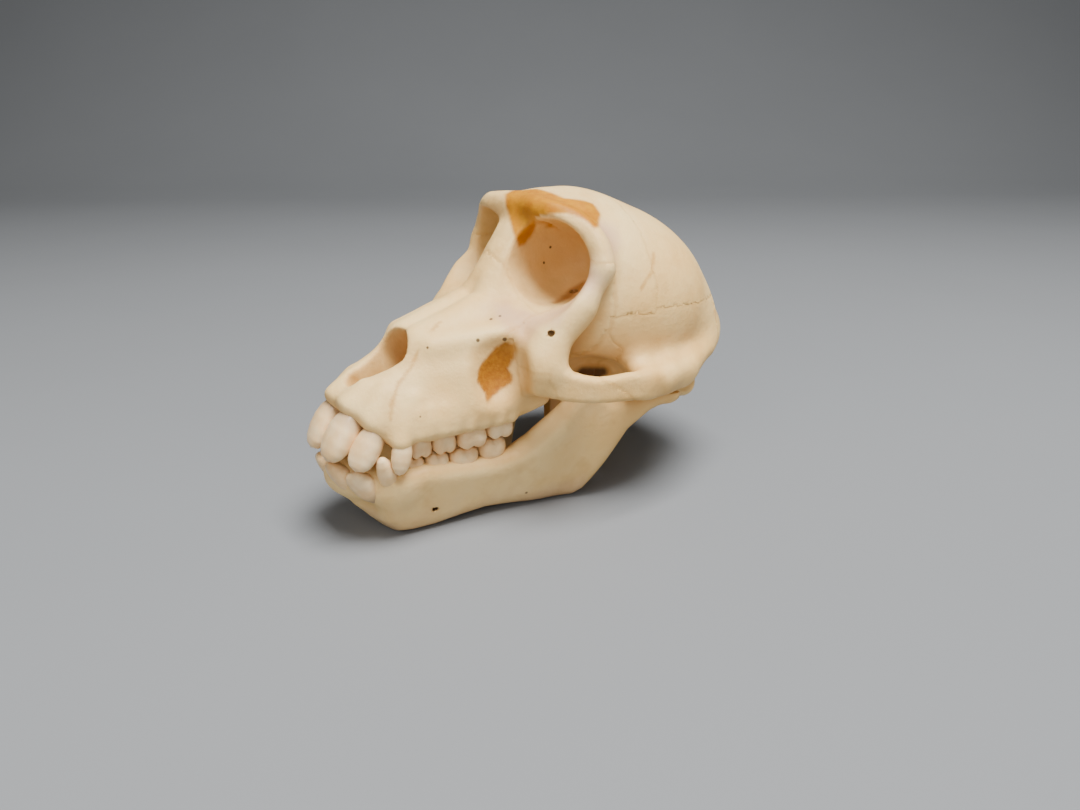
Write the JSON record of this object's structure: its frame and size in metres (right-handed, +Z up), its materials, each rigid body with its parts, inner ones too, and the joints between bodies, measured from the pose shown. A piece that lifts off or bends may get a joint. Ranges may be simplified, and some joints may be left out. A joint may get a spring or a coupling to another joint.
{
  "type": "baboon skull",
  "caption": "Dry skull of a young baboon with its lower jaw closed, resting on the jaw: long muzzle, large orbits, rounded braincase and open cheek arches.",
  "frame": {"origin": "centre of the skull's footprint box, on the floor that the lower jaw rests on", "axes": "+Z up, the face looks toward -Y, the animal's left side is +X"},
  "size_m": [0.0812, 0.1334, 0.0896],
  "materials": {
    "bone": "satin dry bone, cream with amber stains",
    "bone_lower": "satin dry bone, cream to tan"
  },
  "bodies": {
    "root": {"cheekbone_left": "bone", "cheekbone_right": "bone", "muzzle": "bone", "frontal": "bone", "sphenoid": "bone", "parietal_left": "bone", "parietal_right": "bone", "occipital": "bone", "temporal_left": "bone", "temporal_right": "bone", "mandible": "bone_lower"}
  },
  "joints": []
}
